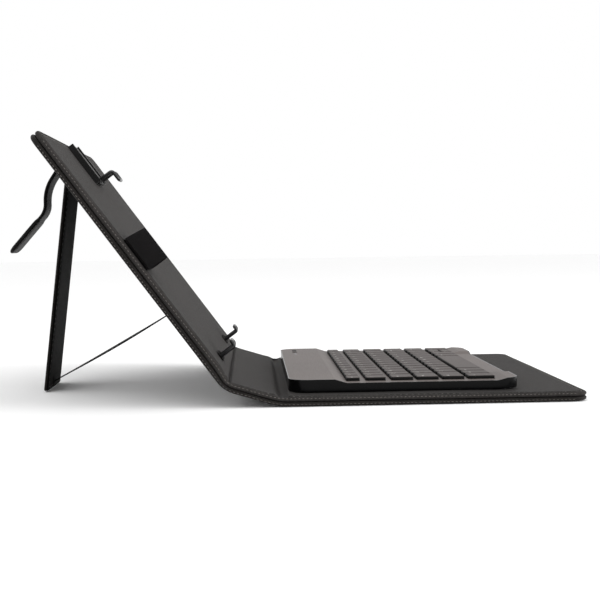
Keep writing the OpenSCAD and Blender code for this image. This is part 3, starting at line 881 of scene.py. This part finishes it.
def build_bottom_hooks():
    for name in ("left", "right"):
        lo, hi = local_box(f"bottom_hook_{name}", tablet_place)
        x, y = (lo.x + hi.x) / 2, lo.y + 5 * MM
        mesh = Mesh()
        mesh.add(*hook_wire(x, y, panel_t * 0.5, hi.z, 18 * MM, hi.y - WIRE_R - y))
        verts, faces = slab_geometry(28 * MM, 10 * MM, 2 * MM, soft_edge(0.8 * MM, 0.2 * MM),
                                     tablet_place @ Matrix.Translation((x, y, panel_t / 2 - 0.85 * MM)))
        mesh.add(verts, faces)
        settle(mesh.object(f"wire_hook_{name}", PAINT), "wire", "tablet_panel", f"bottom_hook_{name}")
        # the lining's slit, with a turned edge round it in near-black leather as painted shadow round the
        # slit
        rim = Mesh()
        profile = mm((1.9, -0.1), (0.5, 0.0), (0.15, 0.28), (0.45, 0.62), (1.1, 0.66), (1.45, 0.3),
                     (1.6, 0.06), (2.3, 0.03))
        verts, faces = slab_geometry(25 * MM, 7.4 * MM, 3.4 * MM, profile,
                                     tablet_place @ Matrix.Translation((x, y, tablet_t - 0.1 * MM)))
        rim.add(verts, faces)
        settle(rim.object(f"hook_slit_{name}", DARK_LEATHER_AND_SHADE), "lining", "tablet_panel")


def build_top_hook():
    wire = Mesh()
    wire_lo, wire_hi = local_box("top_hook", tablet_place)
    y = wire_hi.y - WIRE_R
    base = local_box("hook_slider", tablet_place)[0].z
    wire.add(*hook_wire(0.0, y, wire_lo.z, wire_hi.z, wire_hi.x - wire_lo.x, wire_lo.y + WIRE_R - y))
    settle(wire.object("wire_hook_top", PAINT), "wire", "hook_slider", "top_hook")
    strip = Mesh()
    lo, hi = (corner.y for corner in local_box("hook_slider", tablet_place))
    profile = mm((0.9, 0.0), (0.2, 0.0), (0.0, 0.25), (0.0, 1.7), (0.25, 2.1), (0.8, 2.2), (2.0, 2.2),
                 (2.3, 2.0), (12, 2.0))
    place = tablet_place @ Matrix.Translation((0.0, (lo + hi) / 2, base))
    strip.add(*slab_geometry(28 * MM, hi - lo, 2 * MM, profile, place))
    for s in (-1, 1):
        verts, faces = slab_geometry(5 * MM, 5 * MM, 2.4 * MM, soft_edge(0.9 * MM, 0.35 * MM),
                                     tablet_place @ Matrix.Translation((s * (10 * MM - WIRE_R), y,
                                                                        base + 1.9 * MM)))
        strip.add(verts, faces)
    settle(strip.object("slider_strip", SLIDER), "slider", "hook_slider", "hook_slider")
    # painted light: a lighter copy of the slider plastic laid on the strip's top, while the dark strip under
    # it stands as the shade on its sides
    top = Mesh()
    face_profile = mm((9, 0.0), (0.2, 0.0), (0.0, 0.12), (0.25, 0.32), (0.9, 0.38), (9, 0.42))
    rise = tablet_place @ Matrix.Translation((0.0, (lo + hi) / 2, base + 1.85 * MM))
    top.add(*slab_geometry(26 * MM, hi - lo - 2 * MM, 1.4 * MM, face_profile, rise))
    settle(top.object("slider_painted_lit_top", SLIDER_LIT_TOP), "slider", "hook_slider")


def build_stylus_loop():
    """Woven elastic that leaves the left seam, rolls into a round end and comes back."""
    lo, hi = local_box("stylus_loop", tablet_place)
    y_mid, width, t = (lo.y + hi.y) / 2, hi.y - lo.y, 0.95 * MM
    r = 6.1 * MM
    tail = Vector((lo.x + 0.4 * MM, 0.0, tablet_t + 0.75 * MM))
    mid = Vector((hi.x - r + 1.2 * MM, 0.0, hi.z - r + 0.9 * MM))
    d = mid - tail
    way = math.atan2(d.z, d.x)
    opening = math.asin(r / d.length)
    flat = []
    steps = 28
    first = way - math.pi / 2 - opening
    touch_low = mid + Vector((math.cos(first), 0, math.sin(first))) * r
    for i in range(9):
        flat.append(tail.lerp(touch_low, i / 9))
    for i in range(steps + 1):
        a = way - math.pi / 2 - opening + i * (math.pi + 2 * opening) / steps
        flat.append(mid + Vector((math.cos(a), 0.0, math.sin(a))) * r)
    touch_high = flat[-1]
    start_high = tail + Vector((0.0, 0.0, t * 1.15))
    for i in range(1, 10):
        p = touch_high.lerp(start_high, i / 9)
        sag = math.sin(math.pi * i / 9) * 0.5 * MM
        flat.append(p + Vector((0.0, 0.0, sag)))
    path = [on_tablet(p.x, y_mid, p.z) for p in flat]
    across = turned(tablet_place, 0, 1, 0)
    normals = path_normals(path, across)
    mesh = Mesh()
    verts, faces, uvs = band_geometry(path, normals, width, t, across)
    mesh.add(verts, faces, uvs)
    loop = settle(mesh.object("stylus_elastic", ELASTIC), "elastic", "tablet_panel", "stylus_loop")


# ---- kickstand ------------------------------------------------------------

def build_kickstand():
    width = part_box("kickstand_leg")[1].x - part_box("kickstand_leg")[0].x
    foot_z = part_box("kickstand_leg")[0].z
    t = 3 * MM
    lean = tablet_tilt + leg_open - math.radians(90)
    length = (leg_axis.z - foot_z - t / 2 * math.sin(lean)) / math.cos(lean)
    top = 1.5 * MM
    mid = leg_place @ Matrix.Translation((0.0, (top - length) / 2, 0.0))

    outer = Mesh()
    profile = mm((9, 0.25), (4.2, 0.2), (1.2, 0.15), (0.7, 0.35), (0.2, 0.1), (0.0, -0.3), (0.08, -0.85),
                 (0.5, -1.3), (1.3, -1.47), (2.3, -1.45), (2.7, -1.2), (3.2, -1.45), (9, -1.5))
    outer.add(*slab_geometry(width, length + top, 2.2 * MM, profile, mid))
    leg = outer.object("leg_outer", COVER)
    inner = Mesh()
    profile = mm((9, 0.3), (0.9, 0.3), (0.35, 0.6), (0.25, 0.95), (0.6, 1.3), (1.3, 1.46), (2.3, 1.44),
                 (2.7, 1.2), (3.2, 1.44), (9, 1.5))
    inner.add(*slab_geometry(width, length + top, 2.2 * MM, profile, mid))
    # the leg's inner face: near-black, partly its own colour and partly painted shade
    face = inner.object("leg_inner", DARK_LEATHER_AND_SHADE)
    seam = Mesh()
    for side in (-1, 1):
        loop = [mid @ Vector((x, y, side * 1.28 * MM))
                for x, y in rounded_loop(width, length + top, 2.2 * MM, 2.7 * MM, 3)]
        loop.append(loop[0])
        path = resample(loop, 2 * MM)
        nrm = turned(mid, 0, 0, side)
        stitch_row(seam, path, [nrm] * len(path), r=0.22 * MM)
    thread = seam.object("leg_stitching", THREAD)
    for piece, name in ((leg, "leatherette"), (face, "leatherette"), (thread, "thread")):
        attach(piece, "kickstand")
    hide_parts("kickstand_leg")

    tape = Mesh()
    lo, hi = panel_len - 15 * MM, panel_len - 4.5 * MM
    place = tablet_place @ Matrix.Translation((0.0, (lo + hi) / 2, -0.72 * MM))
    tape.add(*slab_geometry(width, hi - lo, 1.5 * MM, soft_edge(0.7 * MM, 0.35 * MM), place))
    settle(tape.object("hinge_tape", COVER), "leatherette", "tablet_panel", "kickstand_tape")


def build_stay_ribbon():
    """Flat ribbon between the panel's back and the leg's foot, sewn down at both ends."""
    lo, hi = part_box("stay_ribbon")
    low = Vector((0.0, hi.y, lo.z + 0.25 * MM))
    high = Vector((0.0, lo.y, hi.z - 0.25 * MM))
    up_leg = turned(leg_place, 0, 1, 0)
    out_leg = turned(leg_place, 0, 0, 1)
    down_panel = turned(tablet_place, 0, -1, 0)
    out_panel = turned(tablet_place, 0, 0, -1)
    foot = low - out_leg * 0.1 * MM
    root = high + out_panel * 0.02 * MM
    path = round_path([foot - up_leg * 3.5 * MM, foot, root, root + down_panel * 8 * MM], 3 * MM)
    path = resample(path, 2.0 * MM)
    across = Vector((1, 0, 0))
    normals = path_normals(path, across)
    count = len(path)
    for i in range(count):
        share = i / (count - 1)
        twist = math.radians(5) * math.sin(math.pi * share) ** 2
        d = (path[min(i + 1, count - 1)] - path[max(i - 1, 0)]).normalized()
        normals[i] = (Matrix.Rotation(twist, 3, d) @ normals[i]).normalized()
        path[i] = path[i] - Vector((0, 0, 1)) * math.sin(math.pi * share) * 1.2 * MM
    width, t = hi.x - lo.x, 0.6 * MM
    verts, faces, uvs = [], [], []
    along = 0.0
    rings = []
    for i, (p, nrm) in enumerate(zip(path, normals)):
        d = (path[min(i + 1, count - 1)] - path[max(i - 1, 0)]).normalized()
        side = d.cross(nrm).normalized()
        if i:
            along += (p - path[i - 1]).length
        ring = []
        for u, v in ((-1, 0), (-0.96, 1), (-0.5, 1), (0, 1), (0.5, 1), (0.96, 1), (1, 0),
                     (0.96, -1), (0.5, -1), (0, -1), (-0.5, -1), (-0.96, -1)):
            ring.append(len(verts))
            verts.append(p + side * u * width / 2 + nrm * v * t / 2)
            uvs.append((u * width / 2, along))
        rings.append(ring)
    faces = join_rings(rings) + [tuple(reversed(rings[0])), tuple(rings[-1])]
    ribbon = make_object("leg_ribbon", verts, faces, RIBBON, True, uvs)
    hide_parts("stay_ribbon")
    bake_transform(ribbon)
    # the patch takes the same near-black leather as the leg's inner face, partly painted shade
    patch = Mesh()
    place = Matrix.Translation(foot + up_leg * 0.2 * MM) @ leg_place.to_3x3().to_4x4()
    patch.add(*slab_geometry(width + 5 * MM, 9 * MM, 1.5 * MM,
                             soft_edge(0.4 * MM, 0.2 * MM, -0.35 * MM), place))
    settle(patch.object("ribbon_patch", DARK_LEATHER_AND_SHADE), "leatherette", "kickstand")


# ---- closure strap --------------------------------------------------------

STRAP_W = 27 * MM
STRAP_T = 2.4 * MM


def strap_course():
    """The strap's centreline in the YZ plane: straight, an arc down, an arc out, and the tab."""
    root, second, third = strap_points
    d = (second - root).normalized()
    heading = math.atan2(d.z, d.y)
    lead, r1, a1, r2, a2 = 3 * MM, 30 * MM, math.radians(36), 14 * MM, math.radians(43.5)
    points = [second + d * lead]
    steps = 12

    def turn(p, head, r, angle):
        side = 1 if angle > 0 else -1
        c = p + Vector((0, math.cos(head + side * math.pi / 2), math.sin(head + side * math.pi / 2))) * r
        out = []
        for i in range(1, steps + 1):
            a = head - side * math.pi / 2 + angle * i / steps
            out.append(c + Vector((0, math.cos(a), math.sin(a))) * r)
        return out, head + angle
    arc, heading2 = turn(points[0], heading, r1, -a1)
    points += arc
    arc, heading3 = turn(points[-1], heading2, r2, a2)
    points += arc
    tab_way = Vector((0, math.cos(heading3), math.sin(heading3)))
    return root, second, third, d, points, tab_way


def strap_piece(name, path):
    across = Vector((1, 0, 0))
    path = resample(path, 1.2 * MM)
    normals = path_normals(path, across)
    mesh = Mesh()
    verts, faces, uvs = band_geometry(path, normals, STRAP_W, STRAP_T, across)
    mesh.add(verts, faces, uvs)
    obj = mesh.object(name, STRAP_SKIN)
    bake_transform(obj)
    return obj


def build_strap():
    root, second, third, d, curve, tab_way = strap_course()
    up_panel = turned(tablet_place, 0, 1, 0)
    base_mid = root.lerp(second, 0.5)
    # from the panel's back, round the root hinge
    anchor = root + up_panel * 5.5 * MM
    flap = strap_piece("strap_flap", round_path([anchor, root, base_mid], 2.5 * MM))
    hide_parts("strap_base")
    middle = strap_piece("strap_upper", [base_mid, second] + curve[:len(curve) // 2 + 1])
    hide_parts("strap_band")
    tail = curve[len(curve) // 2:] + [third + tab_way * 6 * MM]
    strap_piece("strap_lower", tail)

    tab = Mesh()
    lo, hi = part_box("strap_tab")
    length = 34 * MM
    t = 3.6 * MM
    across = Vector((1, 0, 0))
    out = across.cross(tab_way).normalized()
    place = Matrix.Translation(third + tab_way * (length / 2 + 0.6 * MM)) @ Matrix(
        (across, tab_way, out)).transposed().to_4x4()
    half = t / 2
    profile = [(9 * MM, -half * 1.06), (5 * MM, -half), (3.2 * MM, -half * 0.95), (2.7 * MM, -half * 0.8),
               (2.2 * MM, -half * 0.86), (1.0 * MM, -half * 0.7), (0.3 * MM, -half * 0.42), (0.0, -0.15 * MM),
               (0.25 * MM, 0.0), (0.0, 0.15 * MM), (0.3 * MM, half * 0.42), (1.0 * MM, half * 0.7),
               (2.2 * MM, half * 0.86), (2.7 * MM, half * 0.8), (3.2 * MM, half * 0.95), (5 * MM, half),
               (9 * MM, half * 1.06)]
    tab.add(*slab_geometry(hi.x - lo.x, length - 0.6 * MM, 6 * MM, profile, place))
    pad = settle(tab.object("magnet_tab", STRAP_SKIN), "leatherette", "strap_end", "strap_tab")
    seam = Mesh()
    for side in (-1, 1):
        loop = [place @ Vector((x, y, side * (half * 0.8)))
                for x, y in rounded_loop(hi.x - lo.x, length - 0.6 * MM, 6 * MM, 2.7 * MM, 5)]
        loop.append(loop[0])
        path = resample(loop, 1.5 * MM)
        stitch_row(seam, path, [out * side] * len(path), r=0.22 * MM)
    settle(seam.object("tab_stitching", THREAD), "thread", "strap_end")


# ---- keys -----------------------------------------------------------------

def solids(node):
    """Boxes of the separate solids in a CAD node."""
    mesh = frame["nodes"][node].data
    bm = bmesh.new()
    bm.from_mesh(mesh)
    bmesh.ops.remove_doubles(bm, verts=bm.verts, dist=0.001 * MM)
    bm.verts.ensure_lookup_table()
    seen, boxes = set(), []
    for vert in bm.verts:
        if vert.index in seen:
            continue
        stack, group = [vert], []
        seen.add(vert.index)
        while stack:
            v = stack.pop()
            group.append(v.co.copy())
            for e in v.link_edges:
                w = e.other_vert(v)
                if w.index not in seen:
                    seen.add(w.index)
                    stack.append(w)
        boxes.append(box_of(group))
    bm.free()
    return sorted(boxes, key=lambda b: (round(b[0].x, 5), b[0].y))


def cap_geometry(lo, hi):
    """Near-black skirt and satin cap top of one key, as two closed shells; the skirt's near-black is painted
    shade on the key's sides.
    """
    mid = Matrix.Translation(((lo.x + hi.x) / 2, (lo.y + hi.y) / 2, lo.z))
    w, l, h = hi.x - lo.x, hi.y - lo.y, hi.z - lo.z
    skirt = slab_geometry(w, l, 0.9 * MM, [(2 * MM, 0.0), (0.3 * MM, 0.0), (0.1 * MM, 0.15 * MM),
                                           (0.0, h - 0.45 * MM), (0.12 * MM, h - 0.28 * MM),
                                           (0.5 * MM, h - 0.24 * MM), (2 * MM, h - 0.30 * MM)],
                          mid, 3)
    top = slab_geometry(w, l, 0.9 * MM, [(2 * MM, h - 0.40 * MM), (0.6 * MM, h - 0.40 * MM),
                                         (0.42 * MM, h - 0.30 * MM), (0.40 * MM, h - 0.20 * MM),
                                         (0.48 * MM, h - 0.06 * MM), (0.7 * MM, h),
                                         (1.1 * MM, h - 0.01 * MM), (2.2 * MM, h - 0.05 * MM),
                                         (3.6 * MM, h - 0.09 * MM)], mid, 3)
    return skirt, top


# key nodes, each with the words on its caps from left to right
LEGENDS = {
    "esc_key": ["esc"],
    "function_keys": [f"F{i}" for i in range(1, 13)],
    "number_keys": list("1234567890-="),
    "backspace_key": ["back"],
    "tab_key": ["tab"],
    "top_letter_keys": list("QWERTYUIOP[]"),
    "caps_key": ["caps"],
    "home_letter_keys": list("ASDFGHJKL;"),
    "enter_key": ["enter"],
    "shift_left_key": ["shift"],
    "bottom_letter_keys": list("ZXCVBNM,./"),
    "shift_right_key": ["shift"],
    "modifier_keys": ["fn", "ctrl", "alt", "alt"],
    "space_key": [],
    "left_arrow_key": ["<"],
    "up_arrow_key": ["^"],
    "down_arrow_key": ["v"],
    "right_arrow_key": [">"],
}


def legend_geometry(mesh, word, lo, hi):
    """Flat ink letters near the cap's upper left corner."""
    curve = bpy.data.curves.new("legend", "FONT")
    curve.body = word
    curve.size = 3.6 * MM if len(word) == 1 else 2.6 * MM
    curve.resolution_u = 2
    curve.extrude = 0.015 * MM
    made = link_object("legend", curve)
    bpy.context.view_layer.update()
    flat = bpy.data.meshes.new_from_object(made.evaluated_get(bpy.context.evaluated_depsgraph_get()))
    corner = Vector((lo.x + 2.2 * MM, hi.y - (5.0 * MM if hi.y - lo.y > 10 * MM else 4.2 * MM),
                     hi.z - 0.055 * MM))
    mesh.add([corner + v.co for v in flat.vertices], [tuple(p.vertices) for p in flat.polygons])
    bpy.data.objects.remove(made)
    bpy.data.meshes.remove(flat)


def build_keys():
    for node, words in LEGENDS.items():
        skirts, tops, ink = Mesh(), Mesh(), Mesh()
        boxes = solids(node)
        for i, (lo, hi) in enumerate(boxes):
            skirt, top = cap_geometry(lo, hi)
            skirts.add(*skirt)
            tops.add(*top)
            if i < len(words):
                legend_geometry(ink, words[i], lo, hi)
        cap = tops.object(f"cap_{node}", CAPS)
        # the skirts carry painted shade on the keys' sides
        base = skirts.object(f"skirt_{node}", CAP_SIDE_SHADE)
        for piece in (cap, base):
            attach(piece, node)
        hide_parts(node)
        if ink.verts:
            settle(ink.object(f"legend_{node}", LEGEND, False), "legend", node)


# ---- stage ----------------------------------------------------------------

# metres
FLOOR_HALF = 6.0
FLOOR_GAP = 0.4 * MM
# name, place, diameter in metres, power in watts
LAMPS = (("front_light", (-0.5, -1.7, 0.6), 1.0, 20), ("top_light", (-0.6, 0.3, 1.6), 1.4, 5))


def build_stage():
    """A white floor just under the case, an even white sky and two soft lamps."""
    floor = bpy.data.meshes.new("floor")
    corners = [(x * FLOOR_HALF, y * FLOOR_HALF, 0) for x, y in ((-1, -1), (1, -1), (1, 1), (-1, 1))]
    floor.from_pydata(corners, [], [(0, 1, 2, 3)])
    obj = link_object("floor", floor)
    obj.location.z = -FLOOR_GAP
    mat = bpy.data.materials.new("floor")
    mat.use_nodes = True
    inputs = mat.node_tree.nodes["Principled BSDF"].inputs
    inputs["Base Color"].default_value = (0.96, 0.96, 0.96, 1)
    inputs["Roughness"].default_value = 0.9
    floor.materials.append(mat)
    world = bpy.data.worlds.new("studio")
    bpy.context.scene.world = world
    world.use_nodes = True
    background = world.node_tree.nodes["Background"]
    background.inputs["Color"].default_value = (1, 1, 1, 1)
    background.inputs["Strength"].default_value = 1.0

    middle = (cad_box[0] + cad_box[1]) / 2
    for name, place, size, power in LAMPS:
        data = bpy.data.lights.new(name, "AREA")
        data.shape = "DISK"
        data.size = size
        data.energy = power
        made = link_object(name, data)
        made.location = place
        made.rotation_mode = "QUATERNION"
        made.rotation_quaternion = (Vector(middle) - Vector(place)).to_track_quat("-Z", "Y")
    bpy.context.scene.view_settings.view_transform = "Standard"


# the lens, as its focal length over the picture's width, and the width of the sensor in millimetres
FOCAL_SHARE = 1253.0 / 600.0
SENSOR = 36.0
# metres left of the case, behind the front fold and above the table
EYE = (0.792, 0.0165, 0.1065)
# degrees
YAW, PITCH, ROLL = -2.24, -2.79, -0.8


def build_camera():
    """Level view along the folds from the user's left, turned a little towards the front edge."""
    data = bpy.data.cameras.new("camera")
    data.sensor_width = SENSOR
    data.lens = FOCAL_SHARE * SENSOR
    data.clip_start, data.clip_end = 0.01, 50
    cam = link_object("camera", data)
    cam.location = (-half_w - EYE[0], fold1.y + EYE[1], EYE[2])
    yaw, pitch, roll = (math.radians(a) for a in (YAW, PITCH, ROLL))
    way = Vector((math.cos(yaw) * math.cos(pitch), math.sin(yaw) * math.cos(pitch), math.sin(pitch)))
    cam.rotation_mode = "QUATERNION"
    cam.rotation_quaternion = way.to_track_quat("-Z", "Y") @ Matrix.Rotation(roll, 3, "Z").to_quaternion()
    bpy.context.scene.camera = cam


build_camera()
build_stage()
finish_cad_nodes()
build_case()
build_bottom_hooks()
build_top_hook()
build_stylus_loop()
build_kickstand()
build_stay_ribbon()
build_strap()
build_keys()
